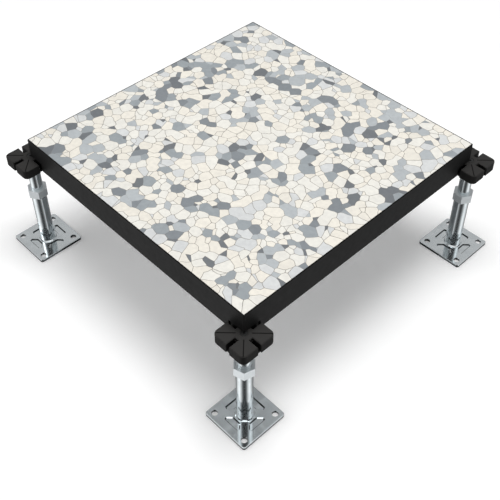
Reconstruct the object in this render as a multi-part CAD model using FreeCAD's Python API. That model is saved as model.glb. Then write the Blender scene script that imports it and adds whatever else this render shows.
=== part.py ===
"""Raised access floor panel on four adjustable pedestals.

Millimetres. The origin is on the subfloor under the middle of the panel, +Z is up and the panel's sides
run along X and Y. The front corner is at +X, -Y.
"""
import FreeCAD, Part
import math
import os

from FreeCAD import Placement, Rotation, Vector

# The floor as a whole
FLOOR_HEIGHT = 270.0  # subfloor to walking surface, at the middle of the levelling range
PANEL_SIDE = 600.0
JOINT_GAP = 1.0  # left between neighbouring panels

# Covering and edge trim
COVERING_THICKNESS = 3.0
TRIM_WIDTH = 2.5
TRIM_BEVEL = 0.8

# Die-cast panel
CASTING_DEPTH = 55.0
CASTING_CORNER_RADIUS = 2.0
DECK_THICKNESS = 5.0
RIM_WALL = 6.0
RIB_THICKNESS = 4.0
RIB_RECESS = 12.0  # the ribs end this far above the rim's lower edge
POCKETS_PER_SIDE = 6
POCKET_CORNER_CUT = 9.0
SEAT_DEPTH = 18.0  # the corners sit this far down over the pedestal heads
SEAT_CLEARANCE = 1.0  # beside the head
SEAT_BOSS_RADIUS = 32.0

# Pedestal head
HEAD_SIDE = 72.0
HEAD_CORNER_RADIUS = 10.0
HEAD_THICKNESS = 20.0
HEAD_BEVEL = 1.5
HEAD_ROOF = 5.0  # over the hollows in the underside
HEAD_WALL = 3.5  # around the hollows in the underside
SLOT_WIDTH = 7.5
SLOT_DEPTH = 20.0
SLOT_FLOOR = 4.0  # the web that closes the inner part of a slot from below
SLOT_MOUTH = 2.5  # the outer part, open from top to bottom
GROOVE_WIDTH = 1.8
GROOVE_DEPTH = 0.9
GROOVE_START = 13.0  # from the middle of the head
HUB_DIAMETER = 36.0
HUB_DEPTH = 5.0  # below the lobes

# Screw that holds the head on its stud
SCREW_HEAD_DIAMETER = 12.0
SCREW_HEAD_HEIGHT = 4.0
SCREW_HEAD_GAP = 0.6  # around the screw's head
SCREW_SINK = 0.3  # below the top of the head
SCREW_SHANK_DIAMETER = 8.0
SCREW_LENGTH = 20.0  # under the screw's head
SCREW_SOCKET_ACROSS_FLATS = 4.0
SCREW_SOCKET_DEPTH = 2.5
SCREW_WEB = 4.0  # of the head, between screw head and stud
SCREW_FIT = 0.05
SCREW_HOLE_SPARE = 2.0  # tapped deeper than the screw reaches

# Stud and levelling nut
STUD_DIAMETER = 24.0
STUD_ENGAGEMENT = 70.0  # in the tube
STUD_FIT = 0.05  # in the head, radial
NUT_ACROSS_FLATS = 36.0
NUT_HEIGHT = 19.0
NUT_FIT = 0.08  # on the stud, radial
NUT_BEVEL = 1.0
NUT_ANGLES = {"front": -45, "right": -63, "back": -45, "left": -27}  # degrees from +X to one corner

# Tube and base plate
TUBE_LENGTH = 130.0
TUBE_WALL = 2.5
TUBE_CLEARANCE = 0.5  # around the stud, radial
TUBE_SEAT_FIT = 0.05  # in the base plate, radial
PLATE_SIDE = 100.0
PLATE_THICKNESS = 6.0
PLATE_CORNER_RADIUS = 5.0
PLATE_BEVEL = 0.8
COLLAR_HEIGHT = 3.5
COLLAR_FOOT = 3.0  # how far the collar's foot spreads from the tube
COLLAR_LIP = 1.5
ANCHOR_SPACING = 75.0
ANCHOR_HOLE_DIAMETER = 12.0
RECESS_OUTER = 34.0  # from the middle of the plate to the recess's long side
RECESS_WIDTH = 14.5
RECESS_LONG_SIDE = 46.0
RECESS_DEPTH = 2.5
RECESS_SLOPE = 2.0
RECESS_CORNER_CUT = 3.0

# Levels and places that follow from the sizes
COVERING_BOTTOM = FLOOR_HEIGHT - COVERING_THICKNESS
CASTING_BOTTOM = COVERING_BOTTOM - CASTING_DEPTH
SEAT_LEVEL = CASTING_BOTTOM + SEAT_DEPTH
HEAD_BOTTOM = SEAT_LEVEL - HEAD_THICKNESS
HUB_BOTTOM = HEAD_BOTTOM - HUB_DEPTH
SCREW_SEAT = SEAT_LEVEL - SCREW_SINK - SCREW_HEAD_HEIGHT
STUD_TOP = SCREW_SEAT - SCREW_WEB
STUD_BOTTOM = TUBE_LENGTH - STUD_ENGAGEMENT
TUBE_BORE_RADIUS = STUD_DIAMETER / 2 + TUBE_CLEARANCE
TUBE_RADIUS = TUBE_BORE_RADIUS + TUBE_WALL
PEDESTAL_OFFSET = (PANEL_SIDE + JOINT_GAP) / 2

CORNERS = {"front": (1, -1), "right": (1, 1), "back": (-1, 1), "left": (-1, -1)}
TRIM_SIDES = {"front_right": 0, "back_right": 90, "back_left": 180, "front_left": 270}
UP = Vector(0, 0, 1)
QUARTER_TURNS = (0, 90, 180, 270)


def turned(shape, degrees):
    """A copy of a shape, turned about the Z axis."""
    return shape.transformed(Placement(Vector(), Rotation(UP, degrees)).toMatrix())


def four_of(shape):
    """Four copies of a shape, a quarter turn apart about the Z axis."""
    return [turned(shape, degrees) for degrees in QUARTER_TURNS]


def box(low, high):
    """A box between two opposite corners."""
    size = Vector(*high) - Vector(*low)
    return Part.makeBox(size.x, size.y, size.z, Vector(*low))


def square(side, bottom, top):
    """A square prism about the Z axis, sharp at its upright edges."""
    return box((-side / 2, -side / 2, bottom), (side / 2, side / 2, top))


def cylinder(radius, bottom, top, x=0.0, y=0.0):
    return Part.makeCylinder(radius, top - bottom, Vector(x, y, bottom))


def prism(outline, bottom, top):
    """An outline of (x, y) points raised between two levels."""
    corners = [Vector(x, y, bottom) for x, y in outline]
    face = Part.Face(Part.makePolygon(corners + corners[:1]))
    return face.extrude(Vector(0, 0, top - bottom))


def square_outline(side):
    half = side / 2
    return [(half, -half), (half, half), (-half, half), (-half, -half)]


def regular_hexagon(across_flats, first_corner):
    """A hexagon's corners, the first at an angle in degrees."""
    radius = across_flats / math.sqrt(3)
    angles = [math.radians(first_corner + 60 * n) for n in range(6)]
    return [(radius * math.cos(a), radius * math.sin(a)) for a in angles]


def cut_corners(outline, cut):
    """An outline with each corner cut off where a round with the cut as its radius would begin."""
    points = [Vector(x, y, 0) for x, y in outline]
    result = []
    for n, corner in enumerate(points):
        to_last = (points[n - 1] - corner).normalize()
        to_next = (points[(n + 1) % len(points)] - corner).normalize()
        length = cut / math.tan(to_last.getAngle(to_next) / 2)
        for along in (to_last * length, to_next * length):
            result.append((corner.x + along.x, corner.y + along.y))
    return result


def upright_edges(shape):
    """The edges of a prism that stand along Z."""
    return [e for e in shape.Edges if abs(e.BoundBox.ZLength - shape.BoundBox.ZLength) < 1e-6]


def edges_at(shape, level):
    """The edges of a shape that lie flat at one level."""
    return [e for e in shape.Edges if e.BoundBox.ZLength < 1e-6 and abs(e.BoundBox.ZMin - level) < 1e-6]


def rounded_square(side, radius, bottom, top):
    """A square prism with rounded upright edges."""
    block = square(side, bottom, top)
    return block.makeFillet(radius, upright_edges(block))


def make_covering():
    """The flat vinyl sheet that is bonded to the casting inside the trim."""
    return square(PANEL_SIDE - 2 * TRIM_WIDTH, COVERING_BOTTOM, FLOOR_HEIGHT)


def make_trims():
    """The edging around the covering: four strips with mitred ends and a bevelled outer edge."""
    block = rounded_square(PANEL_SIDE, CASTING_CORNER_RADIUS, COVERING_BOTTOM, FLOOR_HEIGHT)
    block = block.makeChamfer(TRIM_BEVEL, edges_at(block, FLOOR_HEIGHT))
    ring = block.cut(make_covering())
    mitres = [(0, 0), (PANEL_SIDE, -PANEL_SIDE), (PANEL_SIDE, PANEL_SIDE)]
    wedge = prism(mitres, COVERING_BOTTOM, FLOOR_HEIGHT)
    return {side: ring.common(turned(wedge, degrees)) for side, degrees in TRIM_SIDES.items()}


def make_casting():
    """The panel: a deck with a deep rim, a grid of ribs below it and a rebate at each corner."""
    deck_bottom = COVERING_BOTTOM - DECK_THICKNESS
    rib_bottom = CASTING_BOTTOM + RIB_RECESS
    inside = PANEL_SIDE - 2 * RIM_WALL
    casting = rounded_square(PANEL_SIDE, CASTING_CORNER_RADIUS, CASTING_BOTTOM, COVERING_BOTTOM)
    hollow = cut_corners(square_outline(inside), POCKET_CORNER_CUT)
    casting = casting.cut(prism(hollow, CASTING_BOTTOM, rib_bottom))
    pitch = (inside + RIB_THICKNESS) / POCKETS_PER_SIDE
    pocket = cut_corners(square_outline(pitch - RIB_THICKNESS), POCKET_CORNER_CUT)
    pocket = prism(pocket, rib_bottom, deck_bottom)
    places = [(n - (POCKETS_PER_SIDE - 1) / 2) * pitch for n in range(POCKETS_PER_SIDE)]
    casting = casting.cut([pocket.translated(Vector(x, y, 0)) for x in places for y in places])
    half = PANEL_SIDE / 2
    seat_side = HEAD_SIDE / 2 - JOINT_GAP / 2 + SEAT_CLEARANCE
    boss = cylinder(SEAT_BOSS_RADIUS, SEAT_LEVEL, deck_bottom, half, half)
    boss = boss.common(rounded_square(PANEL_SIDE, CASTING_CORNER_RADIUS, SEAT_LEVEL, deck_bottom))
    rebate = box((half - seat_side, half - seat_side, CASTING_BOTTOM), (half, half, SEAT_LEVEL))
    casting = casting.fuse(four_of(boss)).cut(four_of(rebate))
    return casting.removeSplitter()


def make_head():
    """The lobed head: a rounded square, slotted along the panel joints, on a round hub."""
    half = HEAD_SIDE / 2
    head = rounded_square(HEAD_SIDE, HEAD_CORNER_RADIUS, HEAD_BOTTOM, SEAT_LEVEL)
    slot_side = SLOT_WIDTH / 2
    slot_floor = HEAD_BOTTOM + SLOT_FLOOR
    slot = box((half - SLOT_DEPTH, -slot_side, slot_floor), (half, slot_side, SEAT_LEVEL))
    mouth = box((half - SLOT_MOUTH, -slot_side, HEAD_BOTTOM), (half, slot_side, slot_floor))
    head = head.cut(four_of(slot) + four_of(mouth))
    head = head.makeChamfer(HEAD_BEVEL, edges_at(head, SEAT_LEVEL))
    groove_bottom = SEAT_LEVEL - GROOVE_DEPTH
    groove = box((GROOVE_START, -GROOVE_WIDTH / 2, groove_bottom), (HEAD_SIDE, GROOVE_WIDTH / 2, SEAT_LEVEL))
    head = head.cut(four_of(turned(groove, 45)))
    return head.cut(head_hollows()).fuse(head_hub()).cut(head_bores()).removeSplitter()


def head_hollows():
    """The hollow under each lobe, which leaves a wall along the rim and the slots and clears the hub."""
    near = SLOT_WIDTH / 2 + HEAD_WALL
    far = HEAD_SIDE / 2 - HEAD_WALL
    by_hub = HUB_DIAMETER / math.sqrt(2) - near
    rim = far - HEAD_CORNER_RADIUS
    lobe = [(by_hub, near), (far, near), (far, rim), (rim, far), (near, far), (near, by_hub)]
    return four_of(prism(lobe, HEAD_BOTTOM, SEAT_LEVEL - HEAD_ROOF))


def head_hub():
    return cylinder(HUB_DIAMETER / 2, HUB_BOTTOM, SEAT_LEVEL - HEAD_ROOF)


def head_bores():
    """The socket for the stud, with the screw's hole and counterbore above it."""
    stud_socket = cylinder(STUD_DIAMETER / 2 + STUD_FIT, HUB_BOTTOM, STUD_TOP)
    screw_hole = cylinder(SCREW_SHANK_DIAMETER / 2 + SCREW_FIT, STUD_TOP, SCREW_SEAT)
    counterbore = cylinder(SCREW_HEAD_DIAMETER / 2 + SCREW_HEAD_GAP, SCREW_SEAT, SEAT_LEVEL)
    return [stud_socket, screw_hole, counterbore]


def make_screw():
    """The flush socket screw in the middle of the head."""
    top = SCREW_SEAT + SCREW_HEAD_HEIGHT
    head = cylinder(SCREW_HEAD_DIAMETER / 2, SCREW_SEAT, top)
    shank = cylinder(SCREW_SHANK_DIAMETER / 2, SCREW_SEAT - SCREW_LENGTH, SCREW_SEAT)
    socket = prism(regular_hexagon(SCREW_SOCKET_ACROSS_FLATS, 0), top - SCREW_SOCKET_DEPTH, top)
    return head.fuse(shank).cut(socket)


def make_stud():
    """The round stud, tapped for the screw at its top."""
    stud = cylinder(STUD_DIAMETER / 2, STUD_BOTTOM, STUD_TOP)
    hole_bottom = SCREW_SEAT - SCREW_LENGTH - SCREW_HOLE_SPARE
    return stud.cut(cylinder(SCREW_SHANK_DIAMETER / 2 + SCREW_FIT, hole_bottom, STUD_TOP))


def make_nut():
    """The levelling nut: a bevelled hexagon that turns on the tube's end, one corner towards +X."""
    bottom, top = TUBE_LENGTH, TUBE_LENGTH + NUT_HEIGHT
    nut = prism(regular_hexagon(NUT_ACROSS_FLATS, 0), bottom, top)
    nut = nut.makeChamfer(NUT_BEVEL, edges_at(nut, bottom) + edges_at(nut, top))
    return nut.cut(cylinder(STUD_DIAMETER / 2 + NUT_FIT, bottom, top))


def make_tube():
    """The tube that guides the stud, with its foot flush with the underside of the plate."""
    return cylinder(TUBE_RADIUS, 0, TUBE_LENGTH).cut(cylinder(TUBE_BORE_RADIUS, 0, TUBE_LENGTH))


def make_base_plate():
    """The pressed plate: anchor holes, a recess along each side and a drawn collar around the tube."""
    plate = rounded_square(PLATE_SIDE, PLATE_CORNER_RADIUS, 0, PLATE_THICKNESS)
    plate = plate.makeChamfer(PLATE_BEVEL, edges_at(plate, PLATE_THICKNESS))
    plate = plate.cut(four_of(plate_recess())).fuse(plate_collar())
    near = ANCHOR_SPACING / 2
    anchor_hole = cylinder(ANCHOR_HOLE_DIAMETER / 2, 0, PLATE_THICKNESS, near, near)
    tube_hole = cylinder(TUBE_RADIUS + TUBE_SEAT_FIT, 0, PLATE_THICKNESS + COLLAR_HEIGHT)
    return plate.cut(four_of(anchor_hole) + [tube_hole]).removeSplitter()


def plate_recess():
    """The space of one recess: a trapezium with sloping walls, its ends along the plate's diagonals."""
    inner = RECESS_OUTER - RECESS_WIDTH
    long_half = RECESS_LONG_SIDE / 2
    short_half = long_half - RECESS_WIDTH
    outer_corners = [(RECESS_OUTER, -long_half), (RECESS_OUTER, long_half)]
    inner_corners = [(inner, short_half), (inner, -short_half)]
    floor = PLATE_THICKNESS - RECESS_DEPTH
    outline = cut_corners(outer_corners + inner_corners, RECESS_CORNER_CUT)
    block = prism(outline, floor, PLATE_THICKNESS)
    return block.makeChamfer(RECESS_SLOPE, edges_at(block, floor))


def plate_collar():
    """The collar that the plate is drawn up into around the tube."""
    foot, lip = TUBE_RADIUS + COLLAR_FOOT, TUBE_RADIUS + COLLAR_LIP
    return Part.makeCone(foot, lip, COLLAR_HEIGHT, Vector(0, 0, PLATE_THICKNESS))


def write(name, solids):
    """Writes one node: a solid, or a group of like solids."""
    if any(len(s.Solids) != 1 or not s.isValid() for s in solids):
        raise ValueError(f"{name} has an unsound solid")
    shape = solids[0].Solids[0] if len(solids) == 1 else Part.makeCompound(solids)
    shape.exportStep(f"parts/{name}.step")


os.makedirs("parts", exist_ok=True)
write("panel_casting", [make_casting()])
write("covering_sheet", [make_covering()])
for trim_side, trim in make_trims().items():
    write(f"edge_trim_{trim_side}", [trim])

pedestal_places = {
    corner: Vector(x_side * PEDESTAL_OFFSET, y_side * PEDESTAL_OFFSET, 0)
    for corner, (x_side, y_side) in CORNERS.items()
}
pedestal = {
    "head": make_head(),
    "stud": make_stud(),
    "tube": make_tube(),
    "base_plate": make_base_plate(),
}
nut = make_nut()
for corner, place in pedestal_places.items():
    for piece, shape in pedestal.items():
        write(f"{piece}_{corner}", [shape.translated(place)])
    write(f"levelling_nut_{corner}", [turned(nut, NUT_ANGLES[corner]).translated(place)])
screw = make_screw()
write("head_screws", [screw.translated(place) for place in pedestal_places.values()])
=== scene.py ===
"""Looks of a raised access floor panel on four adjustable pedestals. Metres, in the frame of the solids."""

import math
import random
from collections import namedtuple

import bmesh
import bpy
from mathutils import Euler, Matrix, Vector, geometry, noise


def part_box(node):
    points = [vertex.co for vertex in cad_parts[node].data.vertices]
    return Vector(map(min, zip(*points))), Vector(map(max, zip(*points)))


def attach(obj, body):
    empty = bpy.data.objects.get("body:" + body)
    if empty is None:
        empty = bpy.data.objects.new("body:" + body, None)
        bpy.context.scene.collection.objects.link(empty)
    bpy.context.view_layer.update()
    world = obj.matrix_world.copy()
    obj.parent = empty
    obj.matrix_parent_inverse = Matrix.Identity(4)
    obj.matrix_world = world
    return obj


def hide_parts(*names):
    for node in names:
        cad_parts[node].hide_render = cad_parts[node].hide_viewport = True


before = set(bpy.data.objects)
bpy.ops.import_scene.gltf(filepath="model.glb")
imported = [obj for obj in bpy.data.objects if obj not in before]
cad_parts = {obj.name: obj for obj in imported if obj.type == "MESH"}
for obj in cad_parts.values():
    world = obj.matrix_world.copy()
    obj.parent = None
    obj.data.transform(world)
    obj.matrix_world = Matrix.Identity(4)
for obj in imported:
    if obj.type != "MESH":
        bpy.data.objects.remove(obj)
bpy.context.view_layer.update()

SQUARE = ((-1, -1), (1, -1), (1, 1), (-1, 1))  # signs of its corners, in order round it

# Camera, fitted to the photograph's view
CAMERA_PLACE = Vector((0.9424, -0.9004, 1.3476))
CAMERA_HEADING = 136.26  # degrees from +X towards +Y
CAMERA_PITCH = 42.69  # degrees below the horizon
CAMERA_ROLL = -0.22  # degrees
CAMERA_LENS = 63.99  # mm
CAMERA_SENSOR = 36.0  # mm
CAMERA_SHIFT = -0.12  # in widths of the picture

# Stones of the covering
PATTERN_SEED = 11
CHIP_SIZES = (  # least and greatest radius, darts thrown, share that is grown onto the nearest stone
    (0.0130, 0.0195, 1000, 0.10),
    (0.0085, 0.0130, 1800, 0.40),
    (0.0045, 0.0085, 1000, 0.40),
    (0.0022, 0.0040, 500, 0.00),
)
LARGEST_RADIUS = CHIP_SIZES[0][1]
CHIP_PACKING = 0.48  # 1 keeps the circles of neighbouring chips apart
CHIP_SPREAD = 0.62  # 1 draws the sides of touching chips where their circles meet
STRETCH_SIZE = 0.05  # of the areas in which the chips are drawn out the same way
STRETCH_DEPTH = 0.008
VEIN_HALF_WIDTH = 0.00040  # along pale chips
GREY_INSET = 0.00010  # of grey chips, which nearly touch their neighbours
OUTLINE_STEP = 0.0030  # between the points of a stone's outline
CORNER_CUT = 0.0007
WARP_SIZE = 0.010  # of the waves in a stone's outline
WARP_DEPTH = 0.0012
NOISE_LAYERS = (3.3, 7.7)  # for the two directions in which points wander
SPECK_RADIUS = 0.0040  # of the largest chip that may be a dark speck
SPECK_SHARE = 0.35
SPECK_EDGE = 0.008  # without specks along the covering's edge
CLUSTER_SIZE = 0.032  # of the groups of grey chips
CLUSTER_LAYER = 0.5
CLUSTER_WEIGHT = 0.5
SHADE_SPAN = (0.96, 1.02)  # of the stones of one colour
NEXT_CELLS = [(i, j) for i in (-1, 0, 1) for j in (-1, 0, 1)]  # a cell of a grid and those round it

# Colours of the covering
IVORY = (0.786, 0.771, 0.714)
CREAM = (0.792, 0.757, 0.677)
PALE_GREY = (0.640, 0.653, 0.650)
MIST_GREY = (0.440, 0.470, 0.485)
BLUE_GREY = (0.310, 0.340, 0.358)
SLATE = (0.222, 0.243, 0.260)
DARK_SLATE = (0.162, 0.175, 0.187)
VEIN = (0.225, 0.205, 0.178)
PALE_COLOURS = (IVORY, CREAM, PALE_GREY)
CHIP_COLOURS = (  # share of the stones, up from the darkest
    (0.028, DARK_SLATE),
    (0.082, SLATE),
    (0.175, BLUE_GREY),
    (0.270, MIST_GREY),
    (0.385, PALE_GREY),
    (0.700, CREAM),
    (1.000, IVORY),
)
CLOUD_TINT = (0.89, 0.89, 0.90)  # where a stone is darkest

# Mesh of the covering
COLOUR_LAYER = "chip_colour"
INSIDE_RINGS = 1  # keeps the triangles that lie within an outline
MERGE_DISTANCE = 1e-6
TOP_PATCH = (0.5, 0.48)  # middle and half width of the top on its flat map
REST_PATCH = (0.99, 0.004)  # the same for the sides and the underside

# Places on the solids where a material's colour changes: painted shade on the base plates, painted light on
# the heads, and the panel's bare underside
PRESSED_LEVEL = 0.0051  # under the base plates' bevelled edges
PLATE_LEVEL = 0.0060  # of the base plates' tops
PRESSED_REACH = 0.036  # from the middle of a base plate, past its pressed recesses
HEAD_REACH = 0.0325  # from the middle of a head, short of its outer sides
GROOVE_LEVEL = 0.0004  # below the heads' tops, above the floors of their grooves
RIM_INSIDE = 0.2945  # from the middle of the panel, past the inner face of its rim
CORNER_SEATS = 0.255  # from the middle of the panel to the rebates at its corners

# Directions of faces where painted shade or light begins, as parts of a length of 1
STEEP = 0.85  # a sheared or pressed side points up less than this
OFF_DIAGONAL = 0.12  # a face off the plate's diagonals has sideways parts that differ by more than this
UPWARD = 0.5  # a head's tops and bevels point up more than this
LEVEL = 0.9  # a bevel points up less than this

# Colours and patterns of the other materials
# painted shade on the base plates' steep sides, hole walls and recess walls
PAINTED_SHADE_ON_PLATES = (0.055, 0.062, 0.066)
PAINTED_HIGHLIGHT_ON_HEADS = (0.036, 0.035, 0.034)  # painted highlight on the heads' tops and bevels
# painted light on the heads' outer sides, paler than the coat but darker than the tops
PAINTED_LIGHT_ON_HEAD_SIDES = (0.018, 0.0175, 0.017)
AS_CAST = (0.86, 0.87, 0.875)
NOISE_SPAN = (0.3, 0.7)  # holds most of a noise pattern's values
UNIT_SPAN = (0, 1)
COAT_CLOUDS = 0.06  # sizes of patches that differ in colour
ZINC_CLOUDS = 0.02
STONE_CLOUDS = 0.007
COAT_SHEEN = 0.012  # sizes of patches that differ in gloss
VINYL_SHEEN = 0.02
VINYL_GRAIN = 0.0016
VINYL_RELIEF = 0.00001
VINYL_GLOSS = 0.3
VINYL_ROUGHNESS = (0.42, 0.52)
ZINC_MARKS = 0.0008  # width of the marks of drawing or rolling
ZINC_RELIEF = 0.0000005

# Floor
FLOOR_CORNERS = ("front", "right", "back", "left")
FLOOR_WHITE = (0.93, 0.93, 0.93)
SHADED_FLOOR = (0.40, 0.41, 0.42)
FLOOR_ROUGHNESS = 0.9
FLOOR_REACH = 30.0
FLOOR_LEVEL = -0.0002  # just under the base plates
FLOOR_STEP = 0.05  # deep enough for the highest step between two quarters
QUARTER_FACES = ((0, 1, 2, 3), (0, 1, 5, 4), (0, 3, 6, 4))  # the top and the two inner sides
GLOW_REACH = (0.9, 4.0)  # distances between which the floor pales into the background
GLOW_STRENGTH = (0.16, 0.75)

# Lights
LAMPS = (  # name, place, aim, side, watts
    ("overhead", (0.12, 0.12, 2.6), (0.05, 0.05, 0), 1.4, 53),
    ("key", (-2.0, -2.0, 2.2), (0, 0, 0.15), 1.6, 13),
)
SOFT_LIGHT = 0.28  # of the surroundings on the surfaces
WHITE = 1.0  # strength of the background that the camera sees

# Studio for reflections. A stop is a share of the way round from the front corner, and a brightness
WHEEL_TURN = 225  # degrees that bring the start of the round to the front corner
WALL_STOPS = (
    (0.00, 0.05), (0.05, 0.12), (0.09, 0.36), (0.13, 0.80), (0.17, 1.12), (0.21, 1.10),
    (0.28, 0.60), (0.36, 0.26), (0.50, 0.09), (0.64, 0.26), (0.71, 0.80), (0.78, 1.25),
    (0.83, 1.15), (0.87, 0.80), (0.91, 0.36), (0.95, 0.12), (1.00, 0.05),
)
BAND_STOPS = (
    (0.00, 1.50), (0.12, 1.40), (0.22, 0.80), (0.35, 0.30),
    (0.65, 0.30), (0.78, 0.80), (0.88, 1.40), (1.00, 1.50),
)
CEILING_STOPS = (
    (0.00, 0.02), (0.08, 0.03), (0.13, 0.25), (0.17, 0.75), (0.21, 1.20), (0.26, 1.10),
    (0.32, 0.65), (0.38, 0.52), (0.50, 0.52), (0.62, 0.52), (0.68, 0.65), (0.74, 1.10),
    (0.79, 1.20), (0.83, 0.75), (0.87, 0.25), (0.92, 0.03), (1.00, 0.02),
)
BAND_START = (-0.10, 0.12)  # heights between which the walls give way to the band
CEILING_START = (0.58, 0.65)  # and the band to the ceiling

Chip = namedtuple("Chip", "x y radius stone")
Side = namedtuple("Side", "x y neighbour")  # a place along a side, and the stone beyond it
Corner = namedtuple("Corner", "x y side")  # a corner of an outline, and the side after it


# Objects

def placed(name, data):
    """A new object in the scene."""
    made = bpy.data.objects.new(name, data)
    bpy.context.scene.collection.objects.link(made)
    return made


def faced(name, points, faces, material):
    """A new object of points and faces, in one material."""
    mesh = bpy.data.meshes.new(name)
    mesh.from_pydata(points, [], faces)
    mesh.materials.append(material)
    return placed(name, mesh)


# Nodes

def feed(tree, socket, value):
    """Joins a socket to an output of a node, or sets it to a constant."""
    if isinstance(value, bpy.types.NodeSocket):
        tree.links.new(value, socket)
    else:
        socket.default_value = value


def calculated(tree, operation, first, second=0.0):
    """The result of a sum with one or two values, each an output of a node or a number."""
    node = tree.nodes.new("ShaderNodeMath")
    node.operation = operation
    feed(tree, node.inputs[0], first)
    feed(tree, node.inputs[1], second)
    return node.outputs["Value"]


def spread(tree, value, span, result, easing="LINEAR"):
    """A value within one span, brought to the same share of another."""
    node = tree.nodes.new("ShaderNodeMapRange")
    node.interpolation_type = easing
    for name, limit in zip(("From Min", "From Max", "To Min", "To Max"), (*span, *result)):
        node.inputs[name].default_value = limit
    feed(tree, node.inputs["Value"], value)
    return node.outputs["Result"]


def mixed(tree, kind, share, first, second, blend="MIX"):
    """A blend of two numbers or two colours."""
    node = tree.nodes.new("ShaderNodeMix")
    node.data_type = kind
    node.blend_type = blend
    feed(tree, node.inputs["Factor"], share)
    feed(tree, node.inputs["A"], first)
    feed(tree, node.inputs["B"], second)
    return node.outputs["Result"]


def parts_of(tree, vector):
    """The X, Y and Z of a vector."""
    split = tree.nodes.new("ShaderNodeSeparateXYZ")
    feed(tree, split.inputs["Vector"], vector)
    return split.outputs["X"], split.outputs["Y"], split.outputs["Z"]


def object_place(tree):
    """A place on the object, in its own frame."""
    return tree.nodes.new("ShaderNodeTexCoord").outputs["Object"]


def face_direction(tree):
    """The X, Y and Z of the direction in which a face looks."""
    return parts_of(tree, tree.nodes.new("ShaderNodeNewGeometry").outputs["True Normal"])


def object_noise(tree, size, detail=3.0, stretch=(1, 1, 1)):
    """A noise pattern fixed to the object, with features of about one size in metres."""
    mapping = tree.nodes.new("ShaderNodeMapping")
    mapping.inputs["Scale"].default_value = [1 / (size * factor) for factor in stretch]
    feed(tree, mapping.inputs["Vector"], object_place(tree))
    texture = tree.nodes.new("ShaderNodeTexNoise")
    texture.inputs["Scale"].default_value = 1.0
    texture.inputs["Detail"].default_value = detail
    feed(tree, texture.inputs["Vector"], mapping.outputs["Vector"])
    return texture.outputs["Fac"]


def from_pedestal(tree, x, y):
    """How far a place is from the middle of its pedestal, along X or along Y, whichever is more."""
    low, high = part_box("base_plate_front")
    middle = (low.x + high.x) / 2
    offsets = []
    for place in (x, y):
        from_middle = calculated(tree, "SUBTRACT", calculated(tree, "ABSOLUTE", place), middle)
        offsets.append(calculated(tree, "ABSOLUTE", from_middle))
    return calculated(tree, "MAXIMUM", *offsets)


# Materials

def grey(value):
    """A colour without a hue."""
    return (value, value, value)


def opaque(colour):
    """A colour with the full alpha that a socket asks for."""
    return (*colour, 1)


def shader_in(tree):
    """The shader of a material's node tree."""
    return tree.nodes["Principled BSDF"]


def new_material(name):
    """A material with nodes, its node tree and its shader."""
    material = bpy.data.materials.new(name)
    material.use_nodes = True
    tree = material.node_tree
    return material, tree, shader_in(tree)


def tinted(tree, pattern, dark, light):
    """A colour between two others, by a noise pattern."""
    return mixed(tree, "RGBA", spread(tree, pattern, NOISE_SPAN, UNIT_SPAN), opaque(dark), opaque(light))


def bumped(tree, pattern, depth):
    """Gives a material relief of a depth in metres, by a noise pattern."""
    bump = tree.nodes.new("ShaderNodeBump")
    bump.inputs["Distance"].default_value = depth
    bump.inputs["Strength"].default_value = 1.0
    feed(tree, bump.inputs["Height"], pattern)
    feed(tree, shader_in(tree).inputs["Normal"], bump.outputs["Normal"])


def recoloured(tree, mask, colour):
    """Gives a material another colour where a mask is 1."""
    base = shader_in(tree).inputs["Base Color"]
    before = base.links[0].from_socket
    feed(tree, base, mixed(tree, "RGBA", mask, before, opaque(colour)))


def coated_metal(name, dark, light, roughness, grain, grain_depth, gloss):
    """A black coat or plastic: a nearly even colour with a fine grain."""
    material, tree, shader = new_material(name)
    shader.inputs["Specular IOR Level"].default_value = gloss
    feed(tree, shader.inputs["Base Color"], tinted(tree, object_noise(tree, COAT_CLOUDS), dark, light))
    sheen = object_noise(tree, COAT_SHEEN)
    feed(tree, shader.inputs["Roughness"], spread(tree, sheen, NOISE_SPAN, roughness))
    bumped(tree, object_noise(tree, grain, detail=2.0), grain_depth)
    return material


def zinc_plate(name, stretch, metallic, dark, light, roughness):
    """Bright zinc on steel, with faint marks that may be stretched along one direction."""
    material, tree, shader = new_material(name)
    shader.inputs["Metallic"].default_value = metallic
    feed(tree, shader.inputs["Base Color"], tinted(tree, object_noise(tree, ZINC_CLOUDS), dark, light))
    marks = object_noise(tree, ZINC_MARKS, detail=4.0, stretch=stretch)
    feed(tree, shader.inputs["Roughness"], spread(tree, marks, NOISE_SPAN, roughness))
    bumped(tree, marks, ZINC_RELIEF)
    return material


def drawn_zinc():
    """The zinc of studs and tubes, with marks along their length."""
    return zinc_plate(
        "drawn_zinc", stretch=(1, 1, 40), metallic=1.0,
        dark=(0.64, 0.69, 0.71), light=(0.75, 0.80, 0.82), roughness=(0.10, 0.13),
    )


def nut_zinc():
    """The duller zinc of the levelling nuts."""
    return zinc_plate(
        "nut_zinc", stretch=(1, 1, 1), metallic=0.8,
        dark=(0.72, 0.76, 0.78), light=(0.80, 0.84, 0.86), roughness=(0.36, 0.42),
    )


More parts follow.
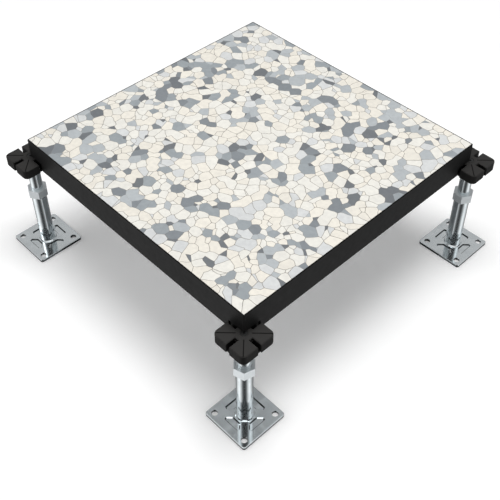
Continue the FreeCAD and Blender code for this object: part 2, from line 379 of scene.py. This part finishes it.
def pressed_zinc():
    """The base plates' zinc, with painted shade on the steep faces of its edges, holes and pressed recesses,
    except those that face along a diagonal.
    """
    material = zinc_plate(
        "pressed_zinc", stretch=(12, 1, 1), metallic=0.94,
        dark=(0.72, 0.765, 0.785), light=(0.80, 0.845, 0.865), roughness=(0.07, 0.10),
    )
    tree = material.node_tree
    slope_x, slope_y, tilt = face_direction(tree)
    x, y, level = parts_of(tree, object_place(tree))
    in_recess = calculated(tree, "LESS_THAN", from_pedestal(tree, x, y), PRESSED_REACH)
    steep = calculated(tree, "LESS_THAN", tilt, STEEP)
    sideways = [calculated(tree, "ABSOLUTE", slope) for slope in (slope_x, slope_y)]
    uneven = calculated(tree, "ABSOLUTE", calculated(tree, "SUBTRACT", *sideways))
    off_diagonal = calculated(tree, "GREATER_THAN", uneven, OFF_DIAGONAL)
    deeper = calculated(tree, "MULTIPLY", in_recess, PLATE_LEVEL - PRESSED_LEVEL)
    pressed = calculated(tree, "LESS_THAN", level, calculated(tree, "ADD", deeper, PRESSED_LEVEL))
    # painted shade: steep faces off the diagonals, below the bevel, or anywhere below the top within the
    # recesses
    dark = calculated(tree, "MULTIPLY", calculated(tree, "MULTIPLY", steep, off_diagonal), pressed)
    recoloured(tree, dark, PAINTED_SHADE_ON_PLATES)
    return material


def coated_head():
    """The heads' black coat, with painted highlights on tops and bevels and painted light on the outer
    sides, which stay darker than the tops; slots and grooves keep the coat's dark colour.
    """
    material = coated_metal(
        "head_coat", dark=(0.0070, 0.0068, 0.0066), light=(0.0090, 0.0088, 0.0085),
        roughness=(0.42, 0.50), grain=0.0009, grain_depth=0.00003, gloss=0.03,
    )
    tree = material.node_tree
    tilt = face_direction(tree)[2]
    x, y, level = parts_of(tree, object_place(tree))
    outside = calculated(tree, "GREATER_THAN", from_pedestal(tree, x, y), HEAD_REACH)
    upright = calculated(tree, "LESS_THAN", tilt, UPWARD)
    # painted light on the outer upright sides
    recoloured(tree, calculated(tree, "MULTIPLY", outside, upright), PAINTED_LIGHT_ON_HEAD_SIDES)
    upward = calculated(tree, "GREATER_THAN", tilt, UPWARD)
    above_grooves = calculated(tree, "GREATER_THAN", level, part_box("head_front")[1].z - GROOVE_LEVEL)
    sloping = calculated(tree, "LESS_THAN", tilt, LEVEL)
    painted_highlight_faces = calculated(tree, "MAXIMUM", above_grooves, sloping)
    # painted highlight on faces that point up, above the grooves' floors or on the bevels
    recoloured(tree, calculated(tree, "MULTIPLY", upward, painted_highlight_faces), PAINTED_HIGHLIGHT_ON_HEADS)
    return material


def coated_casting():
    """The panel's black coat on the outside, with the ribbed underside left as it was cast."""
    material = coated_metal(
        "panel_coat", dark=grey(0.014), light=grey(0.017),
        roughness=(0.45, 0.53), grain=0.0012, grain_depth=0.00002, gloss=0.06,
    )
    tree = material.node_tree
    places = parts_of(tree, object_place(tree))[:2]
    offsets = [calculated(tree, "ABSOLUTE", place) for place in places]
    in_rim = calculated(tree, "LESS_THAN", calculated(tree, "MAXIMUM", *offsets), RIM_INSIDE)
    off_corners = calculated(tree, "LESS_THAN", calculated(tree, "MINIMUM", *offsets), CORNER_SEATS)
    recoloured(tree, calculated(tree, "MULTIPLY", in_rim, off_corners), AS_CAST)
    return material


def trim_plastic():
    """The black plastic of the edge trim."""
    return coated_metal(
        "trim_plastic", dark=grey(0.004), light=grey(0.006),
        roughness=(0.42, 0.50), grain=0.002, grain_depth=0.00001, gloss=0.10,
    )


def screw_black():
    """The blackened steel of the head screws."""
    return coated_metal(
        "screw_black", dark=grey(0.012), light=grey(0.016),
        roughness=(0.30, 0.38), grain=0.0006, grain_depth=0.00001, gloss=0.40,
    )


def vinyl():
    """The covering's stones in their own colours, clouded like stone."""
    material, tree, shader = new_material("covering_vinyl")
    chips = tree.nodes.new("ShaderNodeAttribute")
    chips.attribute_name = COLOUR_LAYER
    clouds = tinted(tree, object_noise(tree, STONE_CLOUDS, detail=5.0), CLOUD_TINT, grey(1.0))
    colours = chips.outputs["Color"]
    clouded = mixed(tree, "RGBA", share=1.0, first=colours, second=clouds, blend="MULTIPLY")
    feed(tree, shader.inputs["Base Color"], clouded)
    shader.inputs["Specular IOR Level"].default_value = VINYL_GLOSS
    sheen = object_noise(tree, VINYL_SHEEN)
    feed(tree, shader.inputs["Roughness"], spread(tree, sheen, NOISE_SPAN, VINYL_ROUGHNESS))
    bumped(tree, object_noise(tree, VINYL_GRAIN, detail=2.0), VINYL_RELIEF)
    return material


def dress(prefix, material):
    """Gives a material to each solid whose name starts with a word."""
    for name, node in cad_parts.items():
        if name.startswith(prefix):
            node.data.materials.clear()
            node.data.materials.append(material)


def dress_solids():
    """Materials of the solids. The screws come after the heads, because their names start alike."""
    dress("panel_casting", coated_casting())
    dress("edge_trim", trim_plastic())
    dress("head_", coated_head())
    dress("head_screws", screw_black())
    polished = drawn_zinc()
    dress("stud", polished)
    dress("tube", polished)
    dress("levelling_nut", nut_zinc())
    dress("base_plate", pressed_zinc())


# Covering

def throw_chips(half, draw):
    """The chips: large ones first, then smaller ones into the gaps. Some grow onto the stone beside them."""
    reach = 2 * LARGEST_RADIUS
    cells = {}
    chips = []
    grown_stones = set()
    for least, greatest, darts, grown in CHIP_SIZES:
        for _ in range(darts):
            x, y = draw.uniform(-half, half), draw.uniform(-half, half)
            radius = draw.uniform(least, greatest)
            column, row = math.floor(x / reach), math.floor(y / reach)
            near = [chip for i, j in NEXT_CELLS for chip in cells.get((column + i, row + j), ())]
            gaps = [math.hypot(x - chip.x, y - chip.y) for chip in near]
            if any(gap <= CHIP_PACKING * (radius + chip.radius) for gap, chip in zip(gaps, near)):
                continue
            stone = len(chips)
            nearest = near[gaps.index(min(gaps))] if near else None
            if nearest and nearest.stone not in grown_stones and draw.random() < grown:
                stone = nearest.stone
                grown_stones.add(stone)
            chips.append(Chip(x, y, radius, stone))
            cells.setdefault((column, row), []).append(chips[-1])
    return chips


def clip(outline, nx, ny, limit, side):
    """The part of a convex outline where nx * x + ny * y is at most a limit, closed by a new side."""
    result = []
    for n, corner in enumerate(outline):
        previous = outline[n - 1]
        here = nx * corner.x + ny * corner.y - limit
        before = nx * previous.x + ny * previous.y - limit
        if (here > 0) != (before > 0):
            share = before / (before - here)
            x = previous.x + share * (corner.x - previous.x)
            y = previous.y + share * (corner.y - previous.y)
            result.append(Corner(x, y, side if here > 0 else previous.side))
        if here <= 0:
            result.append(corner)
    return result


def chip_cell(chip, others, half, inset):
    """A chip's straight-sided outline: what is nearer to it than to the others, less half a vein."""
    edge = Side(0.0, 0.0, None)
    outline = [Corner(sx * half, sy * half, edge) for sx, sy in SQUARE]
    for other in others:
        gap = math.hypot(other.x - chip.x, other.y - chip.y)
        nx, ny = (other.x - chip.x) / gap, (other.y - chip.y) / gap
        lead = CHIP_SPREAD ** 2 * (chip.radius * chip.radius - other.radius * other.radius)
        reach = (gap * gap + lead) / (2 * gap)
        side_inset = 0 if other.stone == chip.stone else inset
        side = Side((chip.x + other.x) / 2, (chip.y + other.y) / 2, other.stone)
        outline = clip(outline, nx, ny, nx * chip.x + ny * chip.y + reach - side_inset, side)
    return outline


def joined(cells, stone):
    """The outlines of a stone's chips, as one where two of them share a side."""
    opened = []
    for cell in cells:
        shared = [place for place, corner in enumerate(cell) if corner.side.neighbour == stone]
        if len(shared) == 1:
            start = shared[0] + 1
            opened.append(cell[start:] + cell[:start])
    return [opened[0] + opened[1]] if len(opened) == 2 else cells


def stepped(outline):
    """An outline with its corners cut, and its sides divided at the same places for both neighbours."""
    points = []
    for n, corner in enumerate(outline):
        previous = outline[n - 1]
        start, end = Vector((previous.x, previous.y)), Vector((corner.x, corner.y))
        length = (end - start).length
        if length < CORNER_CUT:
            continue
        along = (end - start) / length
        cut = min(CORNER_CUT, length / 3)
        ahead = (start - Vector((previous.side.x, previous.side.y))).dot(along)
        first = math.ceil((ahead + 2 * cut) / OUTLINE_STEP)
        last = math.floor((ahead + length - 2 * cut) / OUTLINE_STEP)
        stations = [step * OUTLINE_STEP - ahead for step in range(first, last + 1)]
        points += [start + place * along for place in (cut, *stations, length - cut)]
    return points


def moved(point, half, size, depth):
    """A point moved along with its surroundings, and not at all at the covering's edge."""
    inside = min(half - abs(point.x), half - abs(point.y))
    depth = depth * min(1.0, max(0.0, inside / (2 * depth)))
    shift = Vector([noise.noise((point.x / size, point.y / size, layer)) for layer in NOISE_LAYERS])
    return point + depth * shift


def warped(point, half):
    """A point of the pattern, first drawn out with its area and then made to wander a little."""
    return moved(moved(point, half, STRETCH_SIZE, STRETCH_DEPTH), half, WARP_SIZE, WARP_DEPTH)


def chip_rank(chip, draw):
    """A chip's place from dark to pale: greys keep together in loose groups."""
    group = (1 + noise.noise((chip.x / CLUSTER_SIZE, chip.y / CLUSTER_SIZE, CLUSTER_LAYER))) / 2
    return CLUSTER_WEIGHT * group + (1 - CLUSTER_WEIGHT) * draw.random()


def stone_colours(chips, half, draw):
    """A colour for each stone: some of the smallest are dark specks, and the others go by their rank."""
    ranks = [chip_rank(chip, draw) for chip in chips]
    inner = half - SPECK_EDGE
    small = [chip for chip in chips if chip.radius < SPECK_RADIUS]
    off_edge = [chip for chip in small if max(abs(chip.x), abs(chip.y)) < inner]
    specks = {chip.stone for chip in off_edge if draw.random() < SPECK_SHARE}
    colours = {speck: DARK_SLATE for speck in specks}
    stones = sorted({chip.stone for chip in chips} - specks, key=lambda stone: ranks[stone])
    for place, stone in enumerate(stones):
        share = (place + 0.5) / len(stones)
        colours[stone] = next(colour for limit, colour in CHIP_COLOURS if share <= limit)
    return colours


def stone_cells(chips, colours, half):
    """The outlines of each stone's chips."""
    reach = 4 * LARGEST_RADIUS
    cells = {}
    for chip in chips:
        near = [
            other for other in chips
            if other is not chip and abs(other.x - chip.x) < reach and abs(other.y - chip.y) < reach
        ]
        near.sort(key=lambda other: math.hypot(other.x - chip.x, other.y - chip.y))
        inset = VEIN_HALF_WIDTH if colours[chip.stone] in PALE_COLOURS else GREY_INSET
        cells.setdefault(chip.stone, []).append(chip_cell(chip, near, half, inset))
    return cells


def lay_stones(half, draw):
    """The outlines of the covering's stones, with the colour of each."""
    chips = throw_chips(half, draw)
    colours = stone_colours(chips, half, draw)
    cells = stone_cells(chips, colours, half)
    outlines = []
    outline_colours = []
    for stone in sorted(cells):
        shade = draw.uniform(*SHADE_SPAN)
        for outline in joined(cells[stone], stone):
            points = [warped(point, half) for point in stepped(outline)]
            if len(points) > 2:
                outlines.append(points)
                outline_colours.append([shade * part for part in colours[stone]])
    return outlines, outline_colours


def divided_top(half):
    """The points and faces of the covering's flat top, with a colour for each face."""
    outlines, outline_colours = lay_stones(half, random.Random(PATTERN_SEED))
    points = [Vector((sx * half, sy * half)) for sx, sy in SQUARE]
    rings = [list(range(len(points)))]
    for outline in outlines:
        rings.append(list(range(len(points), len(points) + len(outline))))
        points += outline
    ring_colours = [VEIN] + outline_colours
    division = geometry.delaunay_2d_cdt(points, [], rings, INSIDE_RINGS, MERGE_DISTANCE)
    flat, _, faces, _, _, owners = division
    return flat, faces, [ring_colours[max(owner)] for owner in owners]


def close_sheet(built, layer, underside):
    """Adds sides below the edge of a top, in the colours along that edge, and an underside."""
    rim = [edge for edge in built.edges if edge.is_boundary]
    feet = {}
    for edge in rim:
        for vertex in edge.verts:
            if vertex not in feet:
                feet[vertex] = built.verts.new((vertex.co.x, vertex.co.y, underside))
    for edge in rim:
        start, end = edge.verts
        colour = edge.link_faces[0][layer].copy()
        wall = built.faces.new((end, feet[end], feet[start], start))
        wall[layer] = colour
    foot = [edge for edge in built.edges if edge.is_boundary]
    bmesh.ops.contextual_create(built, geom=foot)
    bmesh.ops.recalc_face_normals(built, faces=built.faces)


def lay_flat(built, half, top):
    """Maps the top over nearly the whole of a flat square, and the other faces into its corner."""
    flat_map = built.loops.layers.uv.new("OFBake")
    for face in built.faces:
        on_top = all(vertex.co.z == top for vertex in face.verts)
        middle, reach = TOP_PATCH if on_top else REST_PATCH
        for loop in face.loops:
            loop[flat_map].uv = [middle + reach * place / half for place in loop.vert.co.xy]


def covering_mesh(low, high):
    """The covering sheet as a closed mesh, with its top divided into stones and veins."""
    built = bmesh.new()
    layer = built.faces.layers.float_color.new(COLOUR_LAYER)
    flat, faces, colours = divided_top(high.x)
    corners = [built.verts.new((point.x, point.y, high.z)) for point in flat]
    for face, colour in zip(faces, colours):
        made = built.faces.new([corners[number] for number in face])
        made[layer] = opaque(colour)
    close_sheet(built, layer, low.z)
    lay_flat(built, high.x, high.z)
    mesh = bpy.data.meshes.new("covering_chips")
    built.to_mesh(mesh)
    built.free()
    return mesh


def make_covering():
    """The covering sheet: its top is divided into stones and the veins between them."""
    low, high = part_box("covering_sheet")
    covering = placed("covering_chips", covering_mesh(low, high))
    covering.data.materials.append(vinyl())
    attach(covering, "panel")
    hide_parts("covering_sheet")


# Studio

def matt(name, colour):
    """A material of one colour, without gloss."""
    material, _, shader = new_material(name)
    shader.inputs["Base Color"].default_value = opaque(colour)
    shader.inputs["Roughness"].default_value = FLOOR_ROUGHNESS
    shader.inputs["Specular IOR Level"].default_value = 0.0
    return material


def floor_material():
    """A plain white that keeps the object's shadow and pales into the background far off."""
    material = matt("floor_white", FLOOR_WHITE)
    tree = material.node_tree
    shader = shader_in(tree)
    shader.inputs["Emission Color"].default_value = (1, 1, 1, 1)
    distance = tree.nodes.new("ShaderNodeVectorMath")
    distance.operation = "LENGTH"
    feed(tree, distance.inputs[0], object_place(tree))
    glow = spread(tree, distance.outputs["Value"], GLOW_REACH, GLOW_STRENGTH)
    seen = tree.nodes.new("ShaderNodeLightPath").outputs["Is Camera Ray"]
    feed(tree, shader.inputs["Emission Strength"], calculated(tree, "MULTIPLY", glow, seen))
    return material


def make_floor():
    """A floor in four quarters: each stays under its pedestal, with a step where pedestals stand uneven."""
    material = floor_material()
    for corner in FLOOR_CORNERS:
        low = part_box("base_plate_" + corner)[0]
        far_x = math.copysign(FLOOR_REACH, low.x)
        far_y = math.copysign(FLOOR_REACH, low.y)
        points = [(x, y, FLOOR_LEVEL) for x, y in ((0, 0), (far_x, 0), (far_x, far_y), (0, far_y))]
        points += [(x, y, FLOOR_LEVEL - FLOOR_STEP) for x, y in ((0, 0), (far_x, 0), (0, far_y))]
        floor = faced("floor_" + corner, points, QUARTER_FACES, material)
        floor.visible_glossy = False
        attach(floor, "base_" + corner)


def make_shaded_floor():
    """A grey sheet under the panel, seen only in reflections: painted shade for the floor's shadow, as the
    polished tubes mirror it.
    """
    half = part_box("panel_casting")[1].x
    points = [(sx * half, sy * half, FLOOR_LEVEL / 2) for sx, sy in SQUARE]
    shade = faced("floor_shade", points, [(0, 1, 2, 3)], matt("floor_shade", SHADED_FLOOR))
    shade.visible_camera = False
    shade.visible_diffuse = False
    shade.visible_transmission = False
    shade.visible_shadow = False


def make_lights():
    """Square softboxes."""
    for name, place, aim, side, watts in LAMPS:
        data = bpy.data.lights.new(name, "AREA")
        data.shape = "SQUARE"
        data.size = side
        data.energy = watts
        light = placed(name, data)
        light.location = place
        light.rotation_euler = (Vector(aim) - Vector(place)).to_track_quat("-Z", "Y").to_euler()


def brightness_by_heading(tree, heading, stops):
    """A colour ramp of grey stops round the studio."""
    wheel = tree.nodes.new("ShaderNodeValToRGB")
    elements = wheel.color_ramp.elements
    while len(elements) < len(stops):
        elements.new(0.5)  # moved to its own place below
    for element, (position, brightness) in zip(elements, stops):
        element.position = position
        element.color = opaque(grey(brightness))
    feed(tree, wheel.inputs["Fac"], heading)
    return wheel.outputs["Color"]


def blended_upwards(tree, height, span, below, above):
    """A value below a span of heights that gives way to another above it."""
    share = spread(tree, height, span, UNIT_SPAN, easing="SMOOTHSTEP")
    return mixed(tree, "FLOAT", share, below, above)


def studio_walls(tree):
    """Brightness by heading below the horizon, above it and high up."""
    turn = tree.nodes.new("ShaderNodeMapping")
    turn.inputs["Rotation"].default_value = (0, 0, math.radians(WHEEL_TURN))
    feed(tree, turn.inputs["Vector"], tree.nodes.new("ShaderNodeTexCoord").outputs["Generated"])
    x, y, height = parts_of(tree, turn.outputs["Vector"])
    heading = spread(tree, calculated(tree, "ARCTAN2", y, x), (-math.pi, math.pi), UNIT_SPAN)
    walls = brightness_by_heading(tree, heading, WALL_STOPS)
    band = brightness_by_heading(tree, heading, BAND_STOPS)
    ceiling = brightness_by_heading(tree, heading, CEILING_STOPS)
    walls_and_band = blended_upwards(tree, height, BAND_START, walls, band)
    return blended_upwards(tree, height, CEILING_START, walls_and_band, ceiling)


def make_world():
    """White to the camera, soft light on the surfaces, and light and dark walls for reflections."""
    world = bpy.data.worlds.new("studio")
    bpy.context.scene.world = world
    world.use_nodes = True
    tree = world.node_tree
    background = tree.nodes["Background"]
    background.inputs["Color"].default_value = (1, 1, 1, 1)
    rays = tree.nodes.new("ShaderNodeLightPath").outputs
    seen = calculated(tree, "MAXIMUM", rays["Is Camera Ray"], rays["Is Transmission Ray"])
    strength = mixed(tree, "FLOAT", seen, SOFT_LIGHT, WHITE)
    strength = mixed(tree, "FLOAT", rays["Is Glossy Ray"], strength, studio_walls(tree))
    feed(tree, background.inputs["Strength"], strength)


def make_camera():
    """The camera at the photograph's viewing angle."""
    data = bpy.data.cameras.new("camera")
    data.sensor_width = CAMERA_SENSOR
    data.lens = CAMERA_LENS
    data.shift_y = CAMERA_SHIFT
    camera = placed("camera", data)
    camera.location = CAMERA_PLACE
    aim = Euler((math.radians(90 - CAMERA_PITCH), 0, math.radians(CAMERA_HEADING - 90))).to_matrix()
    roll = Euler((0, 0, math.radians(CAMERA_ROLL))).to_matrix()
    camera.rotation_euler = (aim @ roll).to_euler()
    bpy.context.scene.camera = camera


bpy.context.scene.view_settings.view_transform = "Standard"
dress_solids()
make_covering()
make_floor()
make_shaded_floor()
make_lights()
make_world()
make_camera()
